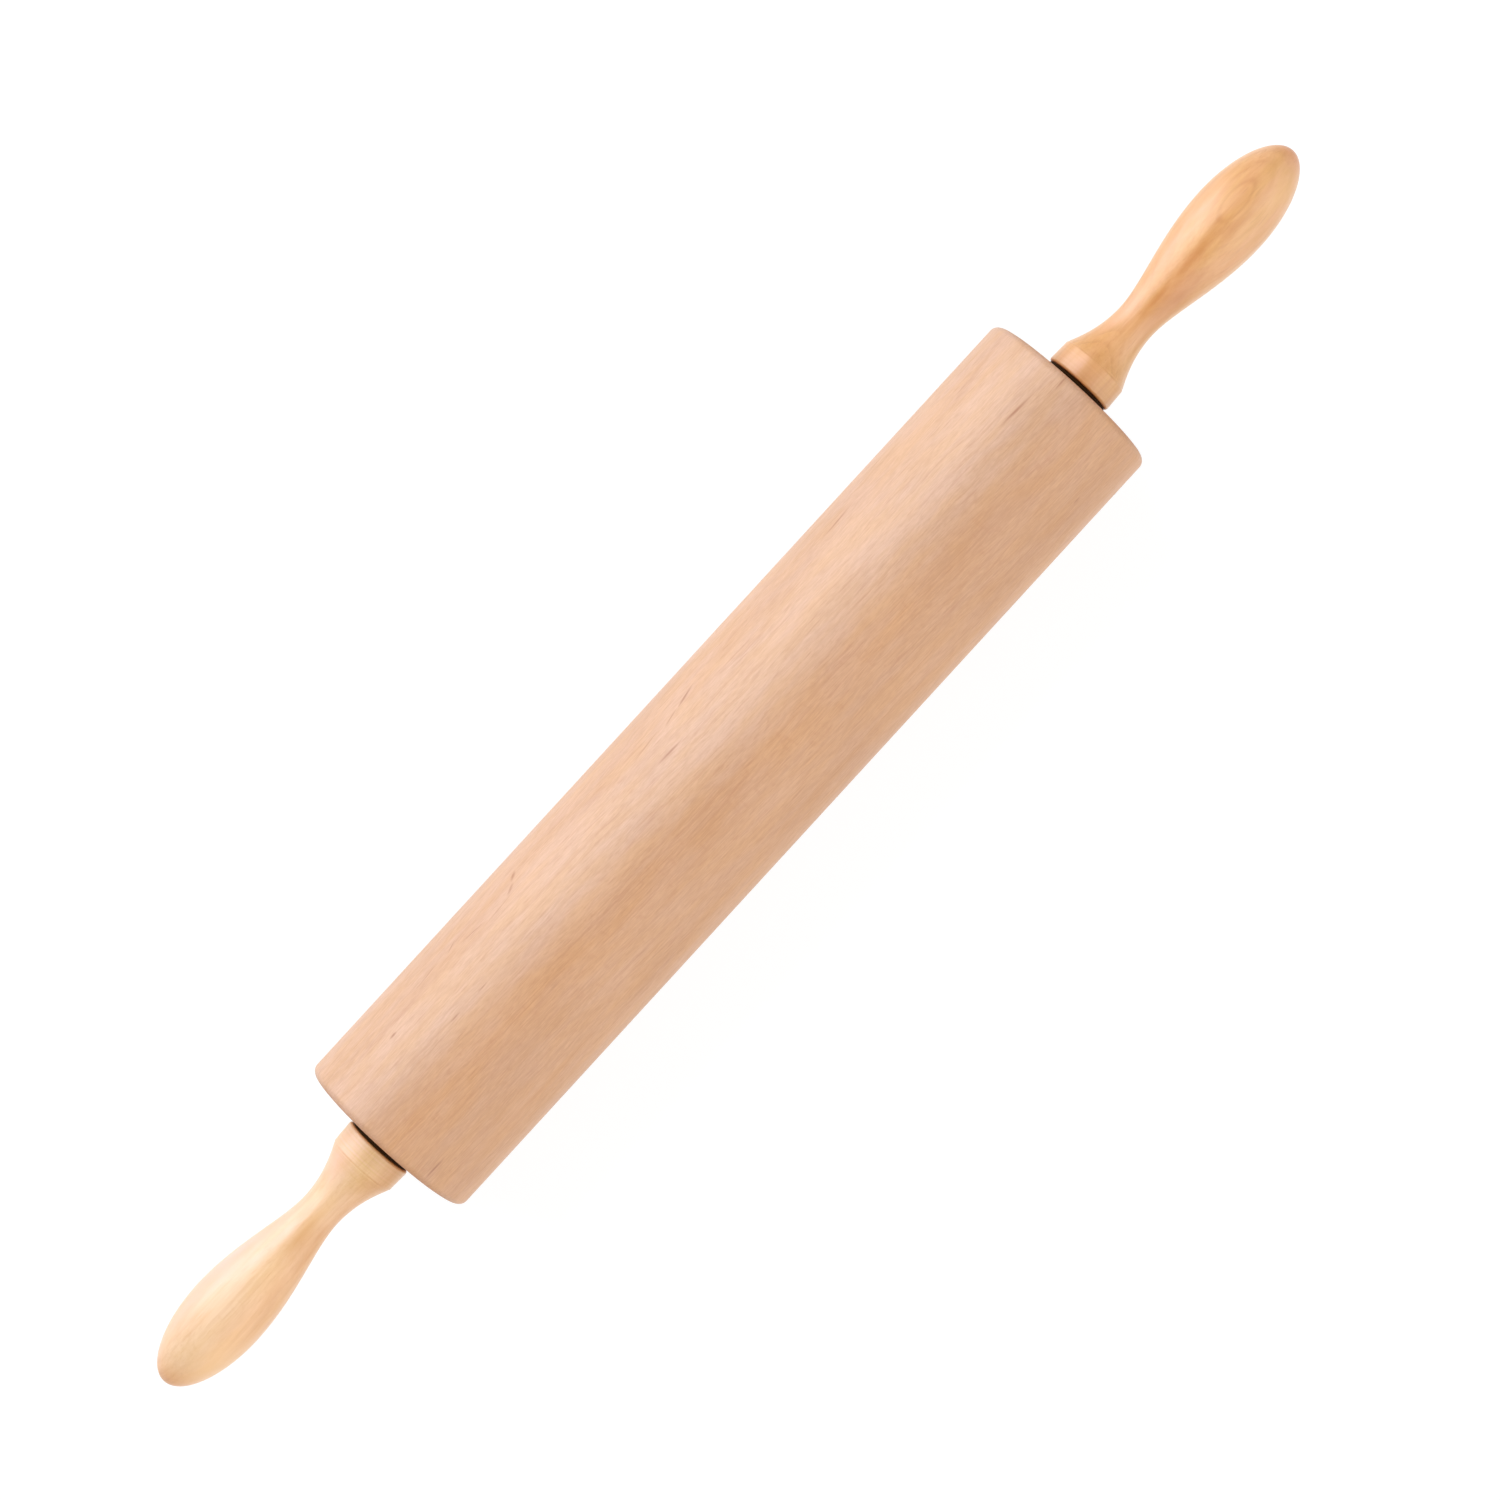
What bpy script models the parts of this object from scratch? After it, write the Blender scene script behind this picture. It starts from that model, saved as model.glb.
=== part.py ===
"""Rolling pin with handles: a turned wooden barrel that runs on two ball bearings.

Metres, +Z up. The origin is the middle of the barrel, on its axis. +X runs along the pin
to the right handle. The handles are screwed onto one steel axle and are held still in use,
while the barrel turns round them on a full ring of loose balls at each end.

Every turned piece is drawn as an outline of (radius, station) points. A station is a
distance along the axis from the middle of the barrel, so one outline serves both ends.
"""

import math

import bpy
from mathutils import Vector
from mathutils.geometry import interpolate_bezier

OBJECT_NAME = "rolling_pin"

# Barrel: fifteen inches by three
BARREL_LENGTH = 0.3810
BARREL_RADIUS = 0.0381
RIM_ROUND = 0.0032

# Fits
SEAT_GAP = 0.0003
RUNNING_GAP = 0.0005
BALL_GAP = 0.00015
BORE_GAP = 0.0015

# Ball bearing: a full ring of 7/32 inch balls, with no cage
BALL_RADIUS = 0.00278
BALL_COUNT = 10
BALL_SPACING = 0.00025
CUP_SHEET = 0.0012
FLANGE_WIDTH = 0.0030
LIP_WIDTH = 0.0014
CONE_FLANK_DEG = 70.0
SHIELD_SHEET = 0.0006
SHIELD_RECESS = 0.0006
SHIELD_CLEARANCE = 0.0004

# Axle: a rod with a turned-down end for each handle
SPIGOT_RADIUS = 0.0040
SHOULDER_STEP = 0.0010
SPIGOT_REACH = 0.0440
SPIGOT_CHAMFER = 0.0008

# Black washer between the bearing and the handle
WASHER_THICKNESS = 0.0012
WASHER_INSET = 0.0008

# Handle, from its base outwards: collar, hollow neck, swell, domed tip
HANDLE_STANDOFF = 0.0040
COLLAR_LENGTH = 0.0091
COLLAR_RADIUS = 0.0144
COLLAR_TAPER = 0.0004
COLLAR_ROUND = 0.0010
NECK_LENGTH = 0.0233
NECK_RADIUS = 0.0081
SWELL_LENGTH = 0.0525
SWELL_RADIUS = 0.0155
TIP_LENGTH = 0.0350
DRILL_POINT_DEG = 118.0

# How far each end of a handle's curve runs straight on, as a share of the curve's length
SHOULDER_PULL = 0.04
NECK_PULL_IN = 0.56
NECK_PULL_OUT = 0.24
SWELL_PULL = 0.42

# Facets round each turned piece, and along each curve
BARREL_STEPS = 60
HANDLE_STEPS = 36
BEARING_STEPS = 36
ROD_STEPS = 28
BALL_SEGMENTS = 10
BALL_RINGS = 7
ROUND_STEPS = 5
RACE_STEPS = 4
NECK_STEPS = 7
SWELL_STEPS = 7
TIP_STEPS = 8
SHARP_EDGE_DEG = 35.0
MERGE_DISTANCE = 0.00001

# Bearing, worked out from its balls
RACE_RADIUS = BALL_RADIUS + BALL_GAP
PITCH_RADIUS = (BALL_RADIUS + BALL_SPACING / 2) / math.sin(math.pi / BALL_COUNT)
CUP_INNER_RADIUS = PITCH_RADIUS + RACE_RADIUS
CUP_OUTER_RADIUS = CUP_INNER_RADIUS + CUP_SHEET
FLANGE_RADIUS = CUP_OUTER_RADIUS + FLANGE_WIDTH
LIP_RADIUS = PITCH_RADIUS - LIP_WIDTH
NOSE_RADIUS = PITCH_RADIUS - RACE_RADIUS
HUB_RADIUS = PITCH_RADIUS - RACE_RADIUS * math.cos(math.radians(CONE_FLANK_DEG))

# Stations along the axis, from the middle of the barrel outwards
END_FACE = BARREL_LENGTH / 2
SHIELD_OUTER = END_FACE - SHIELD_RECESS
SHIELD_INNER = SHIELD_OUTER - SHIELD_SHEET
BALL_CENTRE = SHIELD_INNER - SHIELD_CLEARANCE - BALL_RADIUS
CUP_FLOOR = BALL_CENTRE - RACE_RADIUS
CUP_BACK = CUP_FLOOR - CUP_SHEET
POCKET_FLOOR = CUP_BACK - SEAT_GAP
FLANGE_SEAT = END_FACE - CUP_SHEET - SEAT_GAP
AXLE_SHOULDER = CUP_BACK - SEAT_GAP
HANDLE_BASE = END_FACE + HANDLE_STANDOFF
WASHER_OUTER = HANDLE_BASE - SEAT_GAP
WASHER_INNER = WASHER_OUTER - WASHER_THICKNESS
HUB_END = WASHER_INNER - SEAT_GAP
SHOULDER_STATION = HANDLE_BASE + COLLAR_LENGTH
NECK_STATION = SHOULDER_STATION + NECK_LENGTH
SWELL_STATION = NECK_STATION + SWELL_LENGTH
SPIGOT_END = HANDLE_BASE + SPIGOT_REACH

# Radii of what slides on the axle or lets it through
SLIDING_BORE = SPIGOT_RADIUS + SEAT_GAP
AXLE_RADIUS = SPIGOT_RADIUS + SHOULDER_STEP
BARREL_BORE = AXLE_RADIUS + BORE_GAP

RIGHT, LEFT = 1, -1
SIDES = {"right": RIGHT, "left": LEFT}


def clear_scene():
    for obj in list(bpy.data.objects):
        bpy.data.objects.remove(obj)


def finish(name, colour, roughness, metallic=0.0):
    """A Principled material from an sRGB hex colour."""
    channels = [int(colour[i : i + 2], 16) / 255 for i in (1, 3, 5)]
    linear = [c / 12.92 if c <= 0.04045 else ((c + 0.055) / 1.055) ** 2.4 for c in channels]
    material = bpy.data.materials.new(name)
    material.use_nodes = True
    shader = material.node_tree.nodes["Principled BSDF"]
    shader.inputs["Base Color"].default_value = (*linear, 1)
    shader.inputs["Roughness"].default_value = roughness
    shader.inputs["Metallic"].default_value = metallic
    material.diffuse_color = (*linear, 1)
    return material


def arc(centre, radius, start_deg, end_deg, steps):
    """Points on a round stretch of an outline. Zero degrees points away from the axis."""
    points = []
    for step in range(steps + 1):
        angle = math.radians(start_deg + (end_deg - start_deg) * step / steps)
        points.append((centre[0] + radius * math.cos(angle), centre[1] + radius * math.sin(angle)))
    return points


def level_curve(start, end, start_pull, end_pull, steps):
    """A smooth stretch that leaves start and meets end running parallel to the axis."""
    run = end[1] - start[1]
    knots = (
        Vector((*start, 0)),
        Vector((start[0], start[1] + run * start_pull, 0)),
        Vector((end[0], end[1] - run * end_pull, 0)),
        Vector((*end, 0)),
    )
    return [(point.x, point.y) for point in interpolate_bezier(*knots, steps + 1)]


def turned_mesh(name, outline, steps, ring):
    """An outline swept once round local Z. Its radii are those of the flats between facets.

    The outline runs down its outer side. A ring's outline is a loop that stays off the axis;
    any other starts and ends on the axis.
    """
    half_facet = math.pi / steps
    points = [(radius, radius * math.tan(half_facet), station) for radius, station in outline]
    edges = [(i, i + 1) for i in range(len(points) - 1)]
    if ring:
        edges.append((len(points) - 1, 0))
    profile = bpy.data.meshes.new(name + "_profile")
    profile.from_pydata(points, edges, [])
    lathe = bpy.data.objects.new(name + "_lathe", profile)
    bpy.context.scene.collection.objects.link(lathe)
    screw = lathe.modifiers.new("Turn", "SCREW")
    screw.axis = "Z"
    screw.angle = math.tau
    screw.steps = screw.render_steps = steps
    screw.use_merge_vertices = True
    screw.merge_threshold = MERGE_DISTANCE
    turned = lathe.evaluated_get(bpy.context.evaluated_depsgraph_get())
    mesh = bpy.data.meshes.new_from_object(turned)
    mesh.name = name
    mesh.shade_smooth()
    mesh.set_sharp_from_angle(angle=math.radians(SHARP_EDGE_DEG))
    bpy.data.objects.remove(lathe)
    bpy.data.meshes.remove(profile)
    return mesh


def place(name, mesh, material, pivot, side=RIGHT):
    """Adds one piece, with its mesh's own Z laid along the pin towards its side."""
    if not mesh.materials:
        mesh.materials.append(material)
    piece = bpy.data.objects.new(name, mesh)
    piece.rotation_euler = (0, side * math.pi / 2, 0)
    piece.parent = pivot
    bpy.data.collections[OBJECT_NAME].objects.link(piece)
    return piece


def place_pair(name, mesh, material, pivot):
    for side_name, side in SIDES.items():
        place(f"{name}_{side_name}", mesh, material, pivot, side)


def add_pivot(name, station=0.0):
    """An empty on the pin's axis, which carries the pieces that turn together."""
    pivot = bpy.data.objects.new(name, None)
    pivot.empty_display_size = BARREL_RADIUS
    pivot.location = (station, 0, 0)
    bpy.data.collections[OBJECT_NAME].objects.link(pivot)
    return pivot


def barrel_outline():
    """Solid wood with rounded rims, a clearance bore, and a stepped pocket for each bearing cup."""
    rim_round = min(RIM_ROUND, BARREL_RADIUS - FLANGE_RADIUS - SEAT_GAP - CUP_SHEET)
    rim = arc((BARREL_RADIUS - rim_round, END_FACE - rim_round), rim_round, 90, 0, ROUND_STEPS)
    pocket = [
        (BARREL_BORE, POCKET_FLOOR),
        (CUP_OUTER_RADIUS + SEAT_GAP, POCKET_FLOOR),
        (CUP_OUTER_RADIUS + SEAT_GAP, FLANGE_SEAT),
        (FLANGE_RADIUS + SEAT_GAP, FLANGE_SEAT),
        (FLANGE_RADIUS + SEAT_GAP, END_FACE),
    ]
    right_end = pocket + rim
    left_end = [(radius, -station) for radius, station in reversed(right_end)]
    return right_end + left_end


def cup_outline():
    """Outer race: a flanged cup pressed from sheet, with the ball track in its inner corner."""
    centre = (PITCH_RADIUS, BALL_CENTRE)
    flange = [
        (CUP_INNER_RADIUS, END_FACE),
        (FLANGE_RADIUS, END_FACE),
        (FLANGE_RADIUS, END_FACE - CUP_SHEET),
        (CUP_OUTER_RADIUS, END_FACE - CUP_SHEET),
    ]
    outside = arc(centre, RACE_RADIUS + CUP_SHEET, 0, -90, RACE_STEPS)
    lip = [(LIP_RADIUS, CUP_BACK), (LIP_RADIUS, CUP_FLOOR)]
    track = arc(centre, RACE_RADIUS, -90, 0, RACE_STEPS)
    return flange + outside + lip + track


def cone_outline():
    """Inner race: a bored cone on the axle, with the ball track between its nose and its hub."""
    centre = (PITCH_RADIUS, BALL_CENTRE)
    track = arc(centre, RACE_RADIUS, 180 - CONE_FLANK_DEG, 180, RACE_STEPS)
    hub = [(SLIDING_BORE, HUB_END), (HUB_RADIUS, HUB_END)]
    nose = [(NOSE_RADIUS, CUP_BACK), (SLIDING_BORE, CUP_BACK)]
    return hub + track + nose


def washer_outline(inner_radius, outer_radius, inner_station, outer_station):
    return [
        (inner_radius, outer_station),
        (outer_radius, outer_station),
        (outer_radius, inner_station),
        (inner_radius, inner_station),
    ]


def axle_outline():
    """A plain rod that steps down at each bearing to a spigot with a chamfered end."""
    right_end = [
        (0, SPIGOT_END),
        (SPIGOT_RADIUS - SPIGOT_CHAMFER, SPIGOT_END),
        (SPIGOT_RADIUS, SPIGOT_END - SPIGOT_CHAMFER),
        (SPIGOT_RADIUS, AXLE_SHOULDER),
        (AXLE_RADIUS, AXLE_SHOULDER),
    ]
    left_end = [(radius, -station) for radius, station in reversed(right_end)]
    return right_end + left_end


def handle_outline():
    """A handle turned in one piece, with a blind socket drilled into its base."""
    tip = []
    for step in range(TIP_STEPS):
        angle = math.pi / 2 * (1 - step / TIP_STEPS)
        tip.append((SWELL_RADIUS * math.cos(angle), SWELL_STATION + TIP_LENGTH * math.sin(angle)))
    tip[0] = (0, SWELL_STATION + TIP_LENGTH)
    swell_point = (SWELL_RADIUS, SWELL_STATION)
    neck_point = (NECK_RADIUS, NECK_STATION)
    shoulder_point = (COLLAR_RADIUS - COLLAR_TAPER, SHOULDER_STATION)
    swell = level_curve(swell_point, neck_point, SWELL_PULL, NECK_PULL_OUT, SWELL_STEPS)
    neck = level_curve(neck_point, shoulder_point, NECK_PULL_IN, SHOULDER_PULL, NECK_STEPS)
    round_centre = (COLLAR_RADIUS - COLLAR_ROUND, HANDLE_BASE + COLLAR_ROUND)
    base_edge = arc(round_centre, COLLAR_ROUND, 0, -90, 2)
    socket_end = SPIGOT_END + SEAT_GAP
    drill_point = SLIDING_BORE / math.tan(math.radians(DRILL_POINT_DEG / 2))
    socket = [
        (SLIDING_BORE, HANDLE_BASE),
        (SLIDING_BORE, socket_end),
        (0, socket_end + drill_point),
    ]
    return tip + swell + neck[1:] + base_edge + socket


def add_balls(side_name, side, material, pivot):
    """A full ring of loose balls round the cone, each one its own piece."""
    bpy.ops.mesh.primitive_uv_sphere_add(
        segments=BALL_SEGMENTS, ring_count=BALL_RINGS, radius=BALL_RADIUS
    )
    first = bpy.context.object
    mesh = first.data
    mesh.name = f"ball_{side_name}"
    mesh.shade_smooth()
    bpy.data.objects.remove(first)
    for index in range(BALL_COUNT):
        angle = math.tau * index / BALL_COUNT
        ball = place(f"ball_{side_name}_{index + 1}", mesh, material, pivot, side)
        ball.location = (0, PITCH_RADIUS * math.sin(angle), PITCH_RADIUS * math.cos(angle))


def build():
    clear_scene()
    parts = bpy.data.collections.new(OBJECT_NAME)
    bpy.context.scene.collection.children.link(parts)

    barrel_wood = finish("oiled_beech", "#DFB08D", 0.5)
    handle_wood = finish("waxed_birch", "#EBC08C", 0.42)
    plated_steel = finish("zinc_plated_steel", "#B9BBBD", 0.35, 1.0)
    ground_steel = finish("ground_bearing_steel", "#CFD2D5", 0.15, 1.0)
    black_nylon = finish("black_nylon", "#17130F", 0.6)

    barrel_pivot = add_pivot("barrel_pivot")
    handle_pivot = add_pivot("handle_pivot")

    barrel_mesh = turned_mesh("barrel", barrel_outline(), BARREL_STEPS, ring=True)
    place("barrel", barrel_mesh, barrel_wood, barrel_pivot)

    cup_mesh = turned_mesh("bearing_cup", cup_outline(), BEARING_STEPS, ring=True)
    place_pair("bearing_cup", cup_mesh, plated_steel, barrel_pivot)

    shield = washer_outline(
        HUB_RADIUS + RUNNING_GAP, CUP_INNER_RADIUS - SEAT_GAP, SHIELD_INNER, SHIELD_OUTER
    )
    shield_mesh = turned_mesh("dust_shield", shield, BEARING_STEPS, ring=True)
    place_pair("dust_shield", shield_mesh, plated_steel, barrel_pivot)

    axle_mesh = turned_mesh("axle_rod", axle_outline(), ROD_STEPS, ring=False)
    place("axle_rod", axle_mesh, plated_steel, handle_pivot)

    cone_mesh = turned_mesh("bearing_cone", cone_outline(), BEARING_STEPS, ring=True)
    place_pair("bearing_cone", cone_mesh, ground_steel, handle_pivot)

    washer = washer_outline(
        SLIDING_BORE, COLLAR_RADIUS - WASHER_INSET, WASHER_INNER, WASHER_OUTER
    )
    washer_mesh = turned_mesh("thrust_washer", washer, BEARING_STEPS, ring=True)
    place_pair("thrust_washer", washer_mesh, black_nylon, handle_pivot)

    handle_mesh = turned_mesh("handle", handle_outline(), HANDLE_STEPS, ring=False)
    place_pair("handle", handle_mesh, handle_wood, handle_pivot)

    for side_name, side in SIDES.items():
        orbit = add_pivot(f"ball_orbit_{side_name}", side * BALL_CENTRE)
        add_balls(side_name, side, ground_steel, orbit)


build()
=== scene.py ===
"""Looks of the rolling pin with handles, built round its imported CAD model.

Metres, +Z up. +X runs along the pin to the right handle and +Y is the upper left of the picture.
Every turned piece is an outline of corners that is spun once round the pin's axis, and stands
where its CAD node stands. The wood is cut from a solid pattern of growth rings, so figure, end
grain and sides belong together on every piece.
"""

import math

import bmesh
import bpy
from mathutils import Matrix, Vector
from mathutils.geometry import interpolate_bezier

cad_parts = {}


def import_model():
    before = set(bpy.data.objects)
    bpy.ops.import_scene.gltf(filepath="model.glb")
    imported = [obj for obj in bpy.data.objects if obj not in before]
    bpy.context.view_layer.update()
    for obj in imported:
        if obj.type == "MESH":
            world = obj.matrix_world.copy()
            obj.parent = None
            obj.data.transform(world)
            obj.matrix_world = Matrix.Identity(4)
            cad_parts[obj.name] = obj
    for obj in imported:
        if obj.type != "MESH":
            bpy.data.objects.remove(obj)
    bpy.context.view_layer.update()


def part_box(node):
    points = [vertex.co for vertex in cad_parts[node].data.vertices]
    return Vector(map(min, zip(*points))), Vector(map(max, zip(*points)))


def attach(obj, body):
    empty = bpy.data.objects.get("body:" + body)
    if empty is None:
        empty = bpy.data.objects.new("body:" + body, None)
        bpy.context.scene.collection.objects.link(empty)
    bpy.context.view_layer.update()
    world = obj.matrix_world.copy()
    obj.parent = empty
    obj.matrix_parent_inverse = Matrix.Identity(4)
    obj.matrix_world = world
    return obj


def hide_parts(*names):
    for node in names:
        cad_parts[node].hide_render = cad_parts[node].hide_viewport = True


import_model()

MM = 0.001
WELD = 0.002 * MM

# Barrel
END_FACE = 190.5 * MM
BARREL_RADIUS = 38.1 * MM
RIM_ROUND = 3.2 * MM
BARREL_BORE = 6.5 * MM
POCKET_FLOOR = 181.69 * MM
CUP_POCKET = 13.83 * MM
FLANGE_POCKET = 16.83 * MM
FLANGE_SEAT = 189.0 * MM

# Bearing
BALL_COUNT = 10
BALL_RADIUS = 2.78 * MM
PITCH_RADIUS = 9.401 * MM
BALL_CENTRE = 186.12 * MM
RACE_RADIUS = 2.93 * MM
CUP_SHEET = 1.2 * MM
CUP_BACK = 181.99 * MM
FLANGE_RADIUS = 16.53 * MM
LIP_RADIUS = 8.0 * MM
HUB_RADIUS = 8.4 * MM
HUB_END = 192.7 * MM
NOSE_RADIUS = 6.47 * MM
CONE_FLANK_DEG = 70.0
SHIELD_OUTER = 189.9 * MM
SHIELD_SHEET = 0.6 * MM
SHIELD_BORE = 8.9 * MM
SHIELD_RADIUS = 12.03 * MM
WASHER_INNER = 193.0 * MM
WASHER_OUTER = 194.2 * MM
WASHER_RADIUS = 13.6 * MM

# Axle
SLIDING_BORE = 4.3 * MM
SPIGOT_RADIUS = 4.0 * MM
AXLE_RADIUS = 5.0 * MM
AXLE_SHOULDER = 181.69 * MM
SPIGOT_END = 238.5 * MM
SOCKET_CLEARANCE = 0.3 * MM
DRILL_POINT = 2.6 * MM

# Handle
HANDLE_BASE = 194.5 * MM
COLLAR_RADIUS = 14.4 * MM
COLLAR_TAPER = 0.4 * MM
COLLAR_ROUND = 1.1 * MM
SHOULDER_STATION = 203.6 * MM
SCORE_STATION = 204.4 * MM
SCORE_DEPTH = 0.14 * MM
SCORE_HALF_WIDTH = 0.35 * MM
NECK_STATION = 226.9 * MM
NECK_RADIUS = 8.1 * MM
SWELL_STATION = 279.4 * MM
SWELL_RADIUS = 15.5 * MM
TIP_LENGTH = 35.0 * MM
SHOULDER_PULL = 0.04
NECK_PULL_IN = 0.56
NECK_PULL_OUT = 0.24
SWELL_PULL = 0.42

# How finely the pieces are made: steps round the axis, then steps along each curve
BARREL_STEPS = 192
HANDLE_STEPS = 144
BEARING_STEPS = 96
TIP_STEPS = 24
SWELL_STEPS = 28
NECK_STEPS = 40
CUP_ARC_STEPS = 10
TRACK_STEPS = 14
BALL_SUBDIVISIONS = 4

# Faces that meet at less than this are shaded as one smooth surface
SHARP_EDGE_DEG = 32.0

SIDES = {"left": -1, "right": 1}


def turned(name, outline, steps, side=1, ring=True):
    """Spins an outline once round the pin's axis. Its corners are (radius, station, rounding).

    A ring's outline is a loop that stays off the axis. Any other starts and ends on the axis.
    """
    bm = bmesh.new()
    verts = [bm.verts.new((side * corner[1], 0, corner[0])) for corner in outline]
    edges = [bm.edges.new(pair) for pair in zip(verts, verts[1:])]
    if ring:
        edges.append(bm.edges.new((verts[-1], verts[0])))
    bmesh.ops.spin(
        bm, geom=verts + edges, axis=(1, 0, 0), angle=math.tau, steps=steps, use_merge=True
    )
    bmesh.ops.remove_doubles(bm, verts=bm.verts, dist=WELD)
    bmesh.ops.recalc_face_normals(bm, faces=bm.faces)
    for corner in outline:
        if len(corner) == 3:
            round_corner(bm, corner[0], side * corner[1], *corner[2])
    piece = smooth_object(name, bm)
    piece.data.set_sharp_from_angle(angle=math.radians(SHARP_EDGE_DEG))
    return piece


def smooth_object(name, bm):
    """Makes a bmesh an object at the origin, shaded smooth."""
    mesh = bpy.data.meshes.new(name)
    bm.to_mesh(mesh)
    bm.free()
    mesh.shade_smooth()
    piece = bpy.data.objects.new(name, mesh)
    bpy.context.scene.collection.objects.link(piece)
    return piece


def round_corner(bm, radius, station, offset, segments):
    """Bevels the ring of edges that one corner of an outline has been spun into."""
    ring = [
        edge
        for edge in bm.edges
        if all(
            abs(vert.co.x - station) < WELD and abs(vert.co.yz.length - radius) < WELD
            for vert in edge.verts
        )
    ]
    bmesh.ops.bevel(
        bm,
        geom=ring,
        offset=offset,
        segments=segments,
        affect="EDGES",
        profile=0.5,
        material=-1,
        clamp_overlap=True,
    )


def arc(centre, radius, start_deg, end_deg, steps):
    """Corners on a round stretch of an outline. Zero degrees points away from the axis."""
    corners = []
    for step in range(steps + 1):
        angle = math.radians(start_deg + (end_deg - start_deg) * step / steps)
        corners.append(
            (centre[0] + radius * math.cos(angle), centre[1] + radius * math.sin(angle))
        )
    return corners


def level_curve(start, end, start_pull, end_pull, steps):
    """A smooth stretch that leaves start and meets end running parallel to the axis."""
    run = end[1] - start[1]
    knots = (
        Vector((*start, 0)),
        Vector((start[0], start[1] + run * start_pull, 0)),
        Vector((end[0], end[1] - run * end_pull, 0)),
        Vector((*end, 0)),
    )
    return [(point.x, point.y) for point in interpolate_bezier(*knots, steps + 1)]


def mirrored(corners):
    """The outline of the other end of a piece that is alike at both ends."""
    return [(radius, -station, *rounding) for radius, station, *rounding in reversed(corners)]


def dress(piece, body, slot_name, material, *nodes):
    """Gives a piece its finish, puts it on the body that carries it, and hides the nodes it
    stands in for.
    """
    piece.data.materials.append(material)
    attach(piece, body)
    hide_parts(*nodes)


def barrel():
    """One thick cylinder with rounded rims and a stepped pocket in each end."""
    pocket_edge = (0.25 * MM, 2)
    rim = (RIM_ROUND, 12)
    right_end = [
        (BARREL_BORE, POCKET_FLOOR),
        (CUP_POCKET, POCKET_FLOOR),
        (CUP_POCKET, FLANGE_SEAT),
        (FLANGE_POCKET, FLANGE_SEAT),
        (FLANGE_POCKET, END_FACE, pocket_edge),
        (BARREL_RADIUS, END_FACE, rim),
    ]
    return turned("beech_barrel", right_end + mirrored(right_end), BARREL_STEPS)


def handle(side_name, side):
    """Collar, scored shoulder, hollow neck, swell and domed tip, with a socket for the axle."""
    collar_edge = (COLLAR_ROUND, 6)
    socket_edge = (0.4 * MM, 2)
    tip = [(0, SWELL_STATION + TIP_LENGTH)]
    for step in range(1, TIP_STEPS):
        angle = math.pi / 2 * (1 - step / TIP_STEPS)
        tip.append((SWELL_RADIUS * math.cos(angle), SWELL_STATION + TIP_LENGTH * math.sin(angle)))
    swell_point = (SWELL_RADIUS, SWELL_STATION)
    neck_point = (NECK_RADIUS, NECK_STATION)
    shoulder_point = (COLLAR_RADIUS - COLLAR_TAPER, SHOULDER_STATION)
    swell = level_curve(swell_point, neck_point, SWELL_PULL, NECK_PULL_OUT, SWELL_STEPS)
    neck = level_curve(neck_point, shoulder_point, NECK_PULL_IN, SHOULDER_PULL, NECK_STEPS)
    socket_end = SPIGOT_END + SOCKET_CLEARANCE
    base = [
        (COLLAR_RADIUS, HANDLE_BASE, collar_edge),
        (SLIDING_BORE, HANDLE_BASE, socket_edge),
        (SLIDING_BORE, socket_end),
        (0, socket_end + DRILL_POINT),
    ]
    outline = tip + swell + scored(neck[1:]) + base
    return turned(f"birch_handle_{side_name}", outline, HANDLE_STEPS, side, ring=False)


def scored(corners):
    """The neck's curve with a fine line cut into it by the point of a skew at the shoulder."""
    cut = []
    for radius, station in corners:
        closeness = 1 - abs(station - SCORE_STATION) / SCORE_HALF_WIDTH
        cut.append((radius - SCORE_DEPTH * max(closeness, 0), station))
    return cut


def washer(side_name, side):
    """Black nylon disc against the base of the handle, with softened edges."""
    soft = (0.3 * MM, 3)
    outline = [
        (SLIDING_BORE, WASHER_OUTER),
        (WASHER_RADIUS, WASHER_OUTER, soft),
        (WASHER_RADIUS, WASHER_INNER, soft),
        (SLIDING_BORE, WASHER_INNER),
    ]
    return turned(f"nylon_washer_{side_name}", outline, BEARING_STEPS, side)


def cup(side_name, side):
    """Outer race pressed from sheet, its flange flush with the end of the barrel."""
    inner = PITCH_RADIUS + RACE_RADIUS
    outer = inner + CUP_SHEET
    centre = (PITCH_RADIUS, BALL_CENTRE)
    edge = (0.3 * MM, 3)
    outline = [
        (inner, END_FACE, edge),
        (FLANGE_RADIUS, END_FACE, edge),
        (FLANGE_RADIUS, END_FACE - CUP_SHEET),
        (outer, END_FACE - CUP_SHEET),
    ]
    outline += arc(centre, RACE_RADIUS + CUP_SHEET, 0, -90, CUP_ARC_STEPS)
    outline += [(LIP_RADIUS, CUP_BACK), (LIP_RADIUS, CUP_BACK + CUP_SHEET)]
    outline += arc(centre, RACE_RADIUS, -90, 0, CUP_ARC_STEPS)
    return turned(f"pressed_cup_{side_name}", outline, BEARING_STEPS, side)


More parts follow.
